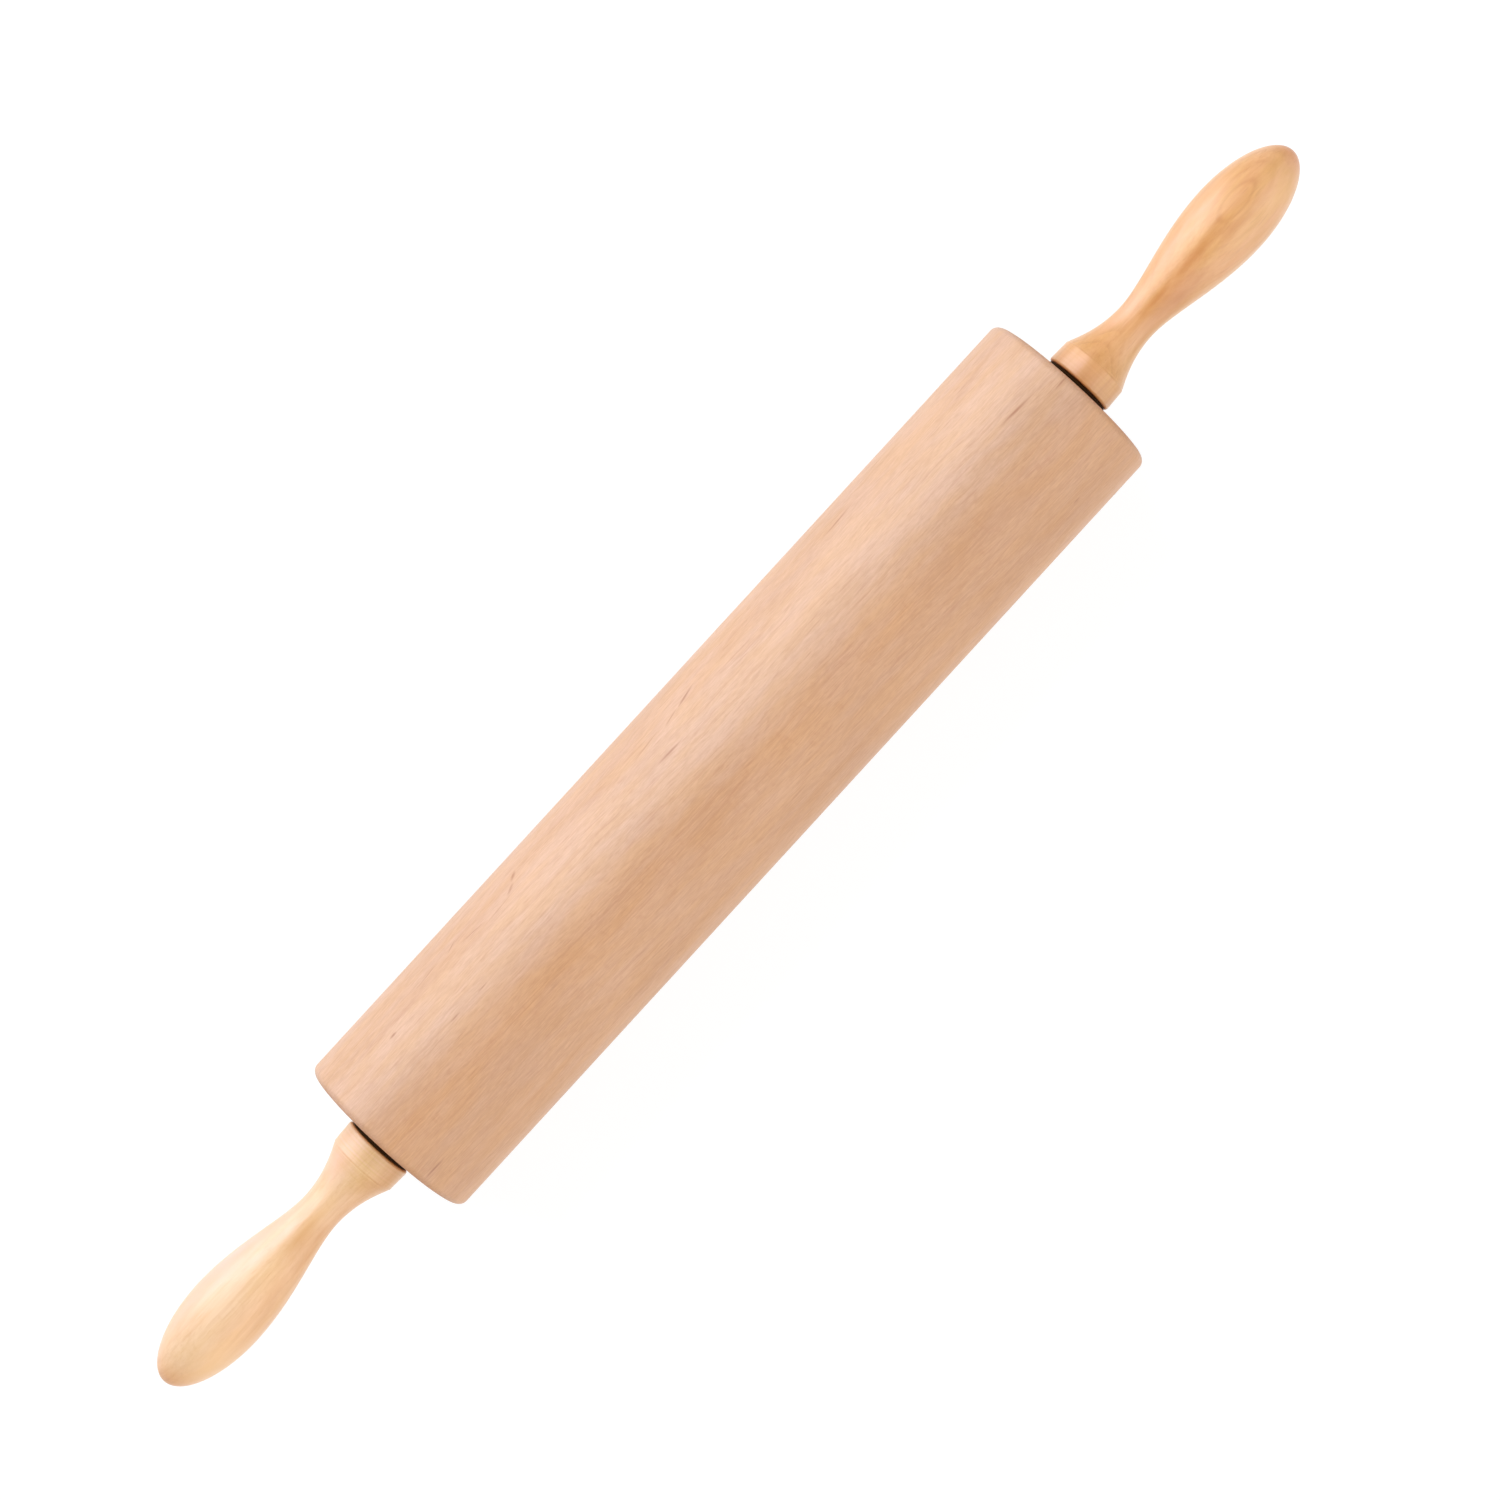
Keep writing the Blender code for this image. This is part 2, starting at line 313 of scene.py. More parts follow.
def shield(side_name, side):
    """Thin dust shield in the mouth of the cup, with a groove pressed round its middle."""
    middle = (SHIELD_BORE + SHIELD_RADIUS) / 2
    groove_half_width = 0.5 * MM
    groove_depth = SHIELD_SHEET / 2
    rim = (0.1 * MM, 2)
    bend = (0.15 * MM, 2)
    outline = [
        (SHIELD_BORE, SHIELD_OUTER, rim),
        (middle - groove_half_width, SHIELD_OUTER, bend),
        (middle, SHIELD_OUTER - groove_depth, bend),
        (middle + groove_half_width, SHIELD_OUTER, bend),
        (SHIELD_RADIUS, SHIELD_OUTER, rim),
        (SHIELD_RADIUS, SHIELD_OUTER - SHIELD_SHEET),
        (SHIELD_BORE, SHIELD_OUTER - SHIELD_SHEET),
    ]
    return turned(f"pressed_shield_{side_name}", outline, BEARING_STEPS, side)


def cone(side_name, side):
    """Inner race on the axle: nose, ball track and a hub with chamfered edges."""
    centre = (PITCH_RADIUS, BALL_CENTRE)
    chamfer = (0.3 * MM, 1)
    hub_edge = (0.4 * MM, 2)
    outline = [(SLIDING_BORE, HUB_END, chamfer), (HUB_RADIUS, HUB_END, hub_edge)]
    outline += arc(centre, RACE_RADIUS, 180 - CONE_FLANK_DEG, 180, TRACK_STEPS)
    outline += [(NOSE_RADIUS, CUP_BACK, chamfer), (SLIDING_BORE, CUP_BACK)]
    return turned(f"ground_cone_{side_name}", outline, BEARING_STEPS, side)


def axle():
    """The rod inside barrel and handles, stepped down at each bearing."""
    tip_chamfer = (0.8 * MM, 1)
    shoulder_chamfer = (0.3 * MM, 1)
    right_end = [
        (0, SPIGOT_END),
        (SPIGOT_RADIUS, SPIGOT_END, tip_chamfer),
        (SPIGOT_RADIUS, AXLE_SHOULDER),
        (AXLE_RADIUS, AXLE_SHOULDER, shoulder_chamfer),
    ]
    outline = right_end + mirrored(right_end)
    return turned("stepped_axle", outline, BEARING_STEPS, ring=False)


def ball(node):
    """A ground steel ball in the place of its node."""
    low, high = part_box(node)
    bm = bmesh.new()
    bmesh.ops.create_icosphere(bm, subdivisions=BALL_SUBDIVISIONS, radius=BALL_RADIUS)
    bmesh.ops.translate(bm, verts=bm.verts, vec=(low + high) / 2)
    return smooth_object(f"ground_{node}", bm)


def linear(colour):
    """The linear RGBA of an sRGB hex colour."""
    channels = [int(colour[i : i + 2], 16) / 255 for i in (1, 3, 5)]
    return [*(c / 12.92 if c <= 0.04045 else ((c + 0.055) / 1.055) ** 2.4 for c in channels), 1]


def add(tree, kind, inputs=None, output=0, **settings):
    """Adds one node, sets its properties, and fills or links its inputs by name or number."""
    node = tree.nodes.new("ShaderNode" + kind)
    for key, value in settings.items():
        setattr(node, key, value)
    for key, value in (inputs or {}).items():
        if isinstance(value, bpy.types.NodeSocket):
            tree.links.new(value, node.inputs[key])
        else:
            node.inputs[key].default_value = value
    return node.outputs[output]


def finish(name, **settings):
    """A material with one Principled shader, whose constants are set on its own sockets."""
    material = bpy.data.materials.new(name)
    material.use_nodes = True
    tree = material.node_tree
    shader = tree.nodes["Principled BSDF"]
    for key, value in settings.items():
        shader.inputs[key.replace("_", " ")].default_value = value
    return material, tree, shader


# Sockets of the Mix node in its colour form
SHARE = 0
COLOUR_A = 6
COLOUR_B = 7
MIXED = 2

WOOD_IOR = 1.5

# Sizes of the patterns along and across the grain, in millimetres. Real fibres are a few
# hundredths of a millimetre wide, and are drawn as coarse as they need to be to show.
FIBRE_SIZE = (5.0, 0.5)
STREAK_SIZE = (30.0, 1.6)
CLOUD_SIZE = (60.0, 14.0)
DASH_SIZE = (13.0, 0.8)
STRAW_SIZE = (24.0, 6.0)
LINE_FADE_SIZE = (34.0, 4.0)
BOW_SIZE = (140.0, 45.0)
WAVE_SIZE = (26.0, 9.0)

# A ray is a thin sheet: its length along the grain, its width and its depth, in millimetres
RAY_SIZE = (2.6, 0.4, 9.0)

# Levels of a noise from 0 to 1. Nearly all of it lies in the first range, and its peaks are the
# dashes and rays.
NOISE_RANGE = (0.3, 0.7)
STRAW_RANGE = (0.35, 0.65)
DASH_RANGE = (0.6, 0.74)
RAY_RANGE = (0.62, 0.74)

# Years of growth: how long good and poor years last and how much they shift the rings, both in
# rings, and the shares of a year at which late wood begins and is darkest
SPELL_YEARS = 2.7
SPELL_SHIFT = 1.6
LATE_FROM = 0.45
LATE_PEAK = 0.93

# Rings that the turning tool leaves, for each millimetre along the pin
TOOL_RINGS_PER_MM = 1.3

# How far placed spots stray from their exact outline, in millimetres
SPOT_WANDER = 1.5

# How far the line of an oval figure reaches to each side, as a share of the oval
OVAL_LINE = 0.24

# How much the fibres and the end grain add to the roughness
FIBRE_ROUGHNESS = 0.1
END_ROUGHNESS = 0.12

# Height of the fibres, and how deep growth lines and tool rings lie as shares of it
RELIEF = 0.02 * MM
LINE_DEPTH = 0.6
TOOL_DEPTH = 1.0


def streaks(tree, blank, size, detail=2.0, roughness=0.5):
    """Soft streaks along the grain, from 0 to 1."""
    length, width = size
    scaled = add(tree, "Mapping", {"Vector": blank, "Scale": (1 / length, 1 / width, 1 / width)})
    return add(
        tree,
        "TexNoise",
        {"Vector": scaled, "Scale": 1.0, "Detail": detail, "Roughness": roughness},
    )


def wander(tree, place, moved, reach, size):
    """Shifts a point by a slow noise, so that straight grain bows and waves."""
    length, width = size
    scaled = add(tree, "Mapping", {"Vector": place, "Scale": (1 / length, 1 / width, 1 / width)})
    noise = add(tree, "TexNoise", {"Vector": scaled, "Scale": 1.0, "Detail": 1.5}, "Color")
    centred = add(tree, "VectorMath", {0: noise, 1: (0.5, 0.5, 0.5)}, operation="SUBTRACT")
    return add(
        tree, "VectorMath", {0: centred, 1: reach, 2: moved}, operation="MULTIPLY_ADD"
    )


def place_in_tree(tree, place, along, look):
    """Where a point lay in the tree: the blank leans a little, and its grain bows and waves."""
    lean_y, lean_z = look["lean"]
    upright = add(
        tree,
        "VectorMath",
        {0: along, 1: (0, -lean_y, -lean_z), 2: place},
        operation="MULTIPLY_ADD",
    )
    centred = add(
        tree, "VectorMath", {0: upright, 1: (0, *look["pith"])}, operation="SUBTRACT"
    )
    bowed = wander(tree, place, centred, (0, look["bow"], look["bow"]), BOW_SIZE)
    return wander(tree, place, bowed, (0, look["wave"], look["wave"]), WAVE_SIZE)


def place_on_surface(tree, place, along, look):
    """Where a point lies along the pin, and round it from the top towards +Y."""
    y = add(tree, "SeparateXYZ", {0: place}, "Y")
    turn = add(tree, "Math", {0: y, 1: y.node.outputs["Z"]}, operation="ARCTAN2")
    round_arc = add(tree, "Math", {0: turn, 1: look["radius"]}, operation="MULTIPLY")
    exact = add(tree, "CombineXYZ", {0: along, 1: round_arc})
    return wander(tree, place, exact, (SPOT_WANDER, SPOT_WANDER, 0), WAVE_SIZE)


def end_grain(tree, look):
    """1 where the surface turns to face along the pin, and 0 on the sides."""
    facing = add(tree, "TexCoord", output="Normal")
    end_on = add(
        tree, "VectorMath", {0: facing, 1: (1, 0, 0)}, "Value", operation="DOT_PRODUCT"
    )
    end_size = add(tree, "Math", {0: end_on}, operation="ABSOLUTE")
    return add(
        tree,
        "MapRange",
        {"Value": end_size, "From Min": look["end_from"], "From Max": 1.0},
        interpolation_type="SMOOTHSTEP",
    )


def growth_rings(tree, distance, look):
    """Late wood in rings of uneven width: a slow rise from 0 to 1, then a quick fall."""
    ring = look["ring"]
    spells = add(
        tree,
        "TexNoise",
        {"W": distance, "Scale": 1 / (SPELL_YEARS * ring), "Detail": 1.0},
        noise_dimensions="1D",
    )
    uneven = add(
        tree, "Math", {0: spells, 1: SPELL_SHIFT * ring, 2: distance}, operation="MULTIPLY_ADD"
    )
    years = add(
        tree, "Math", {0: uneven, 1: 1 / ring, 2: look["ring_start"]}, operation="MULTIPLY_ADD"
    )
    season = add(tree, "Math", {0: years}, operation="FRACT")
    rise = add(
        tree,
        "MapRange",
        {"Value": season, "From Min": LATE_FROM, "From Max": LATE_PEAK},
        interpolation_type="SMOOTHERSTEP",
    )
    fall = add(
        tree,
        "MapRange",
        {"Value": season, "From Min": LATE_PEAK, "From Max": 1.0, "To Min": 1.0, "To Max": 0.0},
        interpolation_type="SMOOTHSTEP",
    )
    return add(tree, "Math", {0: rise, 1: fall}, operation="MULTIPLY")


def growth_lines(tree, blank, distance, end, look):
    """The rings as lines, which fade in and out along the pin and are clear in the end grain."""
    late = growth_rings(tree, distance, look)
    fade = add(
        tree,
        "MapRange",
        {
            "Value": streaks(tree, blank, LINE_FADE_SIZE),
            "From Min": look["fade"][0],
            "From Max": look["fade"][1],
        },
    )
    end_share = add(tree, "Math", {0: end, 1: look["end_rings"]}, operation="MULTIPLY")
    line_share = add(tree, "Math", {0: fade, 1: end_share}, operation="MAXIMUM")
    return add(tree, "Math", {0: late, 1: line_share}, operation="MULTIPLY")


def rays(tree, along, across, distance, look):
    """Thin sheets that run out from the pith: short dashes where the turned surface cuts them."""
    length, width, depth = RAY_SIZE
    y = add(tree, "SeparateXYZ", {0: across}, "Y")
    turn = add(tree, "Math", {0: y.node.outputs["Z"], 1: y}, operation="ARCTAN2")
    ray_arc = add(tree, "Math", {0: turn, 1: look["ray_radius"] / width}, operation="MULTIPLY")
    ray_along = add(tree, "Math", {0: along, 1: 1 / length}, operation="MULTIPLY")
    ray_out = add(tree, "Math", {0: distance, 1: 1 / depth}, operation="MULTIPLY")
    ray_place = add(tree, "CombineXYZ", {0: ray_along, 1: ray_arc, 2: ray_out})
    noise = add(
        tree, "TexNoise", {"Vector": ray_place, "Scale": 1.0, "Detail": 1.0, "Roughness": 0.4}
    )
    return add(
        tree,
        "MapRange",
        {"Value": noise, "From Min": RAY_RANGE[0], "From Max": RAY_RANGE[1]},
        interpolation_type="SMOOTHSTEP",
    )


def dashes(tree, blank):
    """Separate darker streaks among the fibres."""
    return add(
        tree,
        "MapRange",
        {
            "Value": streaks(tree, blank, DASH_SIZE, detail=1.0),
            "From Min": DASH_RANGE[0],
            "From Max": DASH_RANGE[1],
        },
        interpolation_type="SMOOTHSTEP",
    )


def fibres(tree, blank):
    """Fine streaks, from -0.5 for the palest to 0.5 for the deepest."""
    return add(
        tree,
        "MapRange",
        {
            "Value": streaks(tree, blank, FIBRE_SIZE, detail=3.0, roughness=0.65),
            "From Min": NOISE_RANGE[0],
            "From Max": NOISE_RANGE[1],
            "To Min": -0.5,
            "To Max": 0.5,
        },
    )


def body_colour(tree, blank, fine, look):
    """Pale to deep early wood: fine and broad streaks over wide clouds."""
    broad = add(
        tree,
        "MapRange",
        {
            "Value": streaks(tree, blank, STREAK_SIZE),
            "From Min": NOISE_RANGE[0],
            "From Max": NOISE_RANGE[1],
            "To Min": -0.5,
            "To Max": 0.5,
        },
    )
    cloud = add(
        tree,
        "MapRange",
        {
            "Value": streaks(tree, blank, CLOUD_SIZE),
            "From Min": NOISE_RANGE[0],
            "From Max": NOISE_RANGE[1],
            "To Min": 0.2,
            "To Max": 0.8,
        },
    )
    fine_tone = add(
        tree, "Math", {0: fine, 1: look["fibre"], 2: cloud}, operation="MULTIPLY_ADD"
    )
    tone = add(
        tree,
        "Math",
        {0: broad, 1: look["broad"], 2: fine_tone},
        operation="MULTIPLY_ADD",
        use_clamp=True,
    )
    return add(
        tree,
        "Mix",
        {SHARE: tone, COLOUR_A: linear(look["pale"]), COLOUR_B: linear(look["deep"])},
        MIXED,
        data_type="RGBA",
    )


def tool_rings(tree, along, look):
    """Fine rings left by the turning tool, where the sanding didn't reach them."""
    station = add(tree, "Math", {0: along}, operation="ABSOLUTE")
    noise = add(
        tree,
        "TexNoise",
        {"W": station, "Scale": TOOL_RINGS_PER_MM, "Detail": 2.0},
        noise_dimensions="1D",
    )
    reach = add(
        tree,
        "MapRange",
        {"Value": station, "From Min": look["tool_from"], "From Max": look["tool_to"]},
    )
    return add(tree, "Math", {0: noise, 1: reach}, operation="MULTIPLY")


def straw_patches(tree, blank):
    """Patches of a yellower tone."""
    return add(
        tree,
        "MapRange",
        {
            "Value": streaks(tree, blank, STRAW_SIZE),
            "From Min": STRAW_RANGE[0],
            "From Max": STRAW_RANGE[1],
        },
    )


def outer_wood_and_painted_shade(tree, distance, look):
    """1 in the wood outside the pinkish heart. Where the pith lies on the lamps' side, this is
    the shaded side, and its tint is partly painted shade.
    """
    heart_end, outer_start = look["heart_and_shade_reach"]
    return add(
        tree,
        "MapRange",
        {"Value": distance, "From Min": heart_end, "From Max": outer_start},
        interpolation_type="SMOOTHSTEP",
    )


def placed(tree, surface, spots, radius, outlined):
    """Soft spots at set places on the surface. The strongest one shows where they meet.

    They are filled, or outlined with a line round their edge.
    """
    strongest = 0.0
    for station, angle, half_length, half_width, slant, strength in spots:
        near = add(
            tree,
            "Mapping",
            {
                "Vector": surface,
                "Location": (station, math.radians(angle) * radius, 0),
                "Rotation": (0, 0, math.radians(slant)),
                "Scale": (half_length, half_width, 1),
            },
            vector_type="TEXTURE",
        )
        reach = add(tree, "VectorMath", {0: near}, "Value", operation="LENGTH")
        if outlined:
            beside = add(tree, "Math", {0: reach, 1: 1.0}, operation="SUBTRACT")
            reach = add(tree, "Math", {0: beside}, operation="ABSOLUTE")
        spot = add(
            tree,
            "MapRange",
            {
                "Value": reach,
                "From Max": OVAL_LINE if outlined else 1.0,
                "To Min": strength,
                "To Max": 0.0,
            },
            interpolation_type="SMOOTHSTEP",
        )
        strongest = add(tree, "Math", {0: strongest, 1: spot}, operation="MAXIMUM")
    return strongest


def satin_surface(tree, shader, fine, line, tool, end, look):
    """Fibres change the polish a little, and end grain is duller.

    Fibres stand up, and growth lines and tool rings lie lower.
    """
    rough_fibre = add(
        tree,
        "Math",
        {0: fine, 1: FIBRE_ROUGHNESS, 2: look["roughness"]},
        operation="MULTIPLY_ADD",
    )
    rough_end = add(
        tree, "Math", {0: end, 1: END_ROUGHNESS, 2: rough_fibre}, operation="MULTIPLY_ADD"
    )
    tree.links.new(rough_end, shader.inputs["Roughness"])
    sunk_line = add(
        tree, "Math", {0: line, 1: -LINE_DEPTH, 2: fine}, operation="MULTIPLY_ADD"
    )
    height = add(
        tree, "Math", {0: tool, 1: -TOOL_DEPTH, 2: sunk_line}, operation="MULTIPLY_ADD"
    )
    bump = add(tree, "Bump", {"Height": height, "Strength": 1.0, "Distance": RELIEF})
    tree.links.new(bump, shader.inputs["Normal"])


def wood(name, look):
    """Turned wood, as a solid pattern of growth rings round a pith that lies beside the piece.

    The rings give the long lines and the pointed figure on the sides and the arcs on the ends.
    Fibres, rays and placed spots lie on top of them.
    """
    material, tree, shader = finish(
        name,
        Specular_IOR_Level=look["shine"],
        IOR=WOOD_IOR,
        Coat_Weight=look["film"],
        Coat_Roughness=look["film_roughness"],
    )

    # Places in millimetres: on the pin, in the tree, and on the turned surface
    position = add(tree, "TexCoord", output="Object")
    place = add(tree, "VectorMath", {0: position, "Scale": 1 / MM}, operation="SCALE")
    along = add(tree, "VectorMath", {0: place, 1: (1, 0, 0)}, "Value", operation="DOT_PRODUCT")
    blank = place_in_tree(tree, place, along, look)
    across = add(tree, "VectorMath", {0: blank, 1: (0, 1, 1)}, operation="MULTIPLY")
    distance = add(tree, "VectorMath", {0: across}, "Value", operation="LENGTH")
    surface = place_on_surface(tree, place, along, look)

    fine = fibres(tree, blank)
    end = end_grain(tree, look)
    line = growth_lines(tree, blank, distance, end, look)
    tool = tool_rings(tree, along, look)

    # Layers over the wood's own colour. The first ones cover it, and the last ones stain it.
    layers = [
        (line, *look["line"], "MIX"),
        (dashes(tree, blank), *look["dash"], "MIX"),
        (rays(tree, along, across, distance, look), *look["ray"], "MIX"),
    ]
    # Placed spots: marks and ovals are the wood's own figure, pale spots on the lamps' side are
    # painted highlights, and tip spots are painted light
    for kind in ("marks", "pale_spots_and_painted_highlights", "tip_tone_and_painted_light", "ovals"):
        if kind in look:
            tint, spots = look[kind]
            share = placed(tree, surface, spots, look["radius"], kind == "ovals")
            layers.append((share, tint, 1.0, "MIX"))
    layers += [
        (straw_patches(tree, blank), *look["straw"], "MULTIPLY"),
        # On the barrel and the left handle the outer wood is the side away from the lamps: a
        # darker, yellower tint that is partly painted shade
        (outer_wood_and_painted_shade(tree, distance, look), *look["outer"], "MULTIPLY"),
        (tool, *look["tool"], "MULTIPLY"),
        (end, *look["end"], "MULTIPLY"),
    ]
    colour = body_colour(tree, blank, fine, look)
    for where, tint, strength, blend in layers:
        share = add(tree, "Math", {0: where, 1: strength}, operation="MULTIPLY")
        colour = add(
            tree,
            "Mix",
            {SHARE: share, COLOUR_A: colour, COLOUR_B: linear(tint)},
            MIXED,
            data_type="RGBA",
            blend_type=blend,
        )
    tree.links.new(colour, shader.inputs["Base Color"])
    satin_surface(tree, shader, fine, line, tool, end, look)
    return material


# The looks of the woods, with lengths in millimetres:
# pale and deep are the wood's own colour, from its palest to its deepest streaks.
# line, dash, ray, straw, outer, tool and end are each a tint and how strongly it is laid on.
# pith is where the tree's middle lies in Y and Z, and lean is how far it drifts there for each
# millimetre along the pin.
# bow and wave are how far the grain strays.
# ring is a year's growth, and ring_start the share of a year at which the first ring starts.
# The heart's reach is where the outer wood fades in, as a distance from the pith. On the barrel
# and the left handle the pith lies on the lamps' side, so the outer wood's darker, yellower tint
# is partly painted shade.
# fade is where the growth lines fade in, as levels of a noise.
# radius is that of the turned surface.
# ray_radius is the distance from the pith at which rays are as wide as RAY_SIZE says.
# fibre and broad are how much the fine and the broad streaks change the tone.
# end_from is how far the surface turns to the end, from 0 to 1, before end grain begins.
# end_rings is how clear the growth lines are in the end grain.
# tool_from and tool_to are the stations between which the tool's rings fade in.
# shine and roughness are those of the wood, and film that of the oil or wax on it.
# marks, pale spots and painted highlights, tip tone and painted light, and ovals are each a tint
# and its spots: station, degrees round the pin from the top towards +Y, half length, half width,
# slant in degrees, and strength. The pale spots on the lamps' side of a handle or collar are
# painted highlights, and the tip spots are painted light on the handles' tips.

# Steamed beech, turned, sanded and oiled: an even pinkish tan with fine, faint lines
BARREL_LOOK = {
    "pale": "#D3AC93",
    "deep": "#C39B81",
    "line": ("#AC785A", 0.2),
    "dash": ("#B48068", 0.25),
    "ray": ("#B9866A", 0.15),
    "straw": ("#FFFAE8", 0.8),
    # The outer tint darkens and yellows the side away from the lamps: partly painted shade
    "outer": ("#FDF1DD", 1.0),
    "tool": ("#F4E6DC", 0.1),
    "end": ("#F6D8BA", 0.8),
    "heart_and_shade_reach": (62.0, 82.0),
    "pith": (69.0, 58.0),
    "lean": (-0.021, -0.018),
    "bow": 5.0,
    "wave": 1.4,
    "ring": 2.3,
    "fade": (0.42, 0.66),
    "ring_start": 0.0,
    "radius": BARREL_RADIUS / MM,
    "ray_radius": 70.0,
    "fibre": 1.0,
    "broad": 0.1,
    "end_rings": 2.2,
    "end_from": 0.55,
    "tool_from": 165.0,
    "tool_to": 191.0,
    "shine": 0.4,
    "roughness": 0.46,
    "film": 0.3,
    "film_roughness": 0.43,
    "marks": (
        "#9C6448",
        [
            (-183.0, -33.0, 7.5, 0.7, 0.0, 0.8),
            (-157.0, 39.0, 2.6, 0.8, 0.0, 0.75),
            (-136.0, 17.5, 3.4, 0.5, 0.0, 0.6),
            (-133.0, 51.5, 9.0, 0.5, 8.0, 0.45),
            (-121.0, 17.5, 3.4, 0.5, 0.0, 0.55),
            (-119.0, 53.0, 4.5, 0.5, 25.0, 0.5),
            (-110.0, 47.5, 8.0, 0.4, -8.0, 0.5),
            (-96.0, 45.0, 14.0, 0.45, 4.0, 0.4),
            (-88.0, 49.0, 4.0, 1.0, 30.0, 0.5),
            (-84.0, 55.0, 3.5, 1.2, 40.0, 0.6),
            (-14.0, 46.0, 14.0, 0.45, 8.0, 0.35),
            (-11.0, 30.5, 9.0, 0.7, 0.0, 0.75),
            (-0.7, 46.6, 6.0, 0.5, 14.0, 0.5),
            (8.0, 50.0, 7.0, 0.9, 18.0, 0.75),
            (94.0, 56.0, 11.0, 0.7, 3.0, 0.55),
            (160.0, -49.0, 2.2, 0.6, 0.0, 0.5),
            (168.0, 15.5, 9.0, 0.8, -2.0, 0.8),
            (187.0, 7.5, 4.0, 0.6, 0.0, 0.7),
        ],
    ),
    # Two weak pale patches on the barrel, one on each side
    "pale_spots_and_painted_highlights": (
        "#E0B79C",
        [
            (-150.0, -50.0, 40.0, 9.0, 0.0, 0.2),
            (60.0, 28.0, 60.0, 6.0, 0.0, 0.2),
        ],
    ),
}

# Birch, turned and waxed: the left handle is pale cream with a yellow tinge
LEFT_HANDLE_LOOK = {
    "pale": "#EFCCA9",
    "deep": "#E1B88F",
    "line": ("#CC925A", 0.2),
    "dash": ("#CF9A64", 0.2),
    "ray": ("#D3A06B", 0.1),
    "straw": ("#FDF9EA", 1.0),
    # The outer tint darkens and yellows the side away from the lamps: partly painted shade
    "outer": ("#F6E3CB", 1.0),
    "tool": ("#F2F2C4", 0.9),
    "end": ("#FFD49A", 0.8),
    "heart_and_shade_reach": (59.0, 71.0),
    "pith": (60.0, 20.0),
    "lean": (0.0, 0.0),
    "bow": 5.0,
    "wave": 0.8,
    "ring": 3.2,
    "fade": (0.42, 0.66),
    "ring_start": 0.2,
    "radius": SWELL_RADIUS / MM,
    "ray_radius": 60.0,
    "fibre": 0.35,
    "broad": 0.45,
    "end_rings": 1.5,
    "end_from": 0.28,
    "tool_from": 216.0,
    "tool_to": 203.0,
    "shine": 0.45,
    "roughness": 0.37,
    "film": 0.85,
    "film_roughness": 0.4,
    "marks": (
        "#D09B5C",
        [
            (-239.0, -14.0, 17.0, 13.0, 8.0, 0.62),
            (-234.0, -44.0, 8.0, 3.5, 4.0, 0.6),
            (-231.5, 27.0, 9.0, 5.0, 0.0, 0.5),
            (-240.0, -36.0, 18.0, 7.0, 6.0, 0.4),
            (-262.0, -38.0, 20.0, 5.5, 10.0, 0.25),
            (-203.0, -50.0, 9.0, 10.0, 0.0, 0.3),
        ],
    ),
    # Pale pink spots on the lamps' side of the swell, neck and collar: painted highlights
    "pale_spots_and_painted_highlights": (
        "#EEC3B4",
        [
            (-262.0, 58.0, 66.0, 12.0, 0.0, 0.9),
            (-250.0, 27.0, 54.0, 6.0, 0.0, 0.5),
            (-203.0, 46.0, 20.0, 16.0, 0.0, 1.0),
        ],
    ),
    # The tip, mostly on the side away from the lamps, made paler: painted light
    "tip_tone_and_painted_light": (
        "#FBDEBC",
        [
            (-298.0, -50.0, 24.0, 19.0, 0.0, 0.75),
        ],
    ),
}

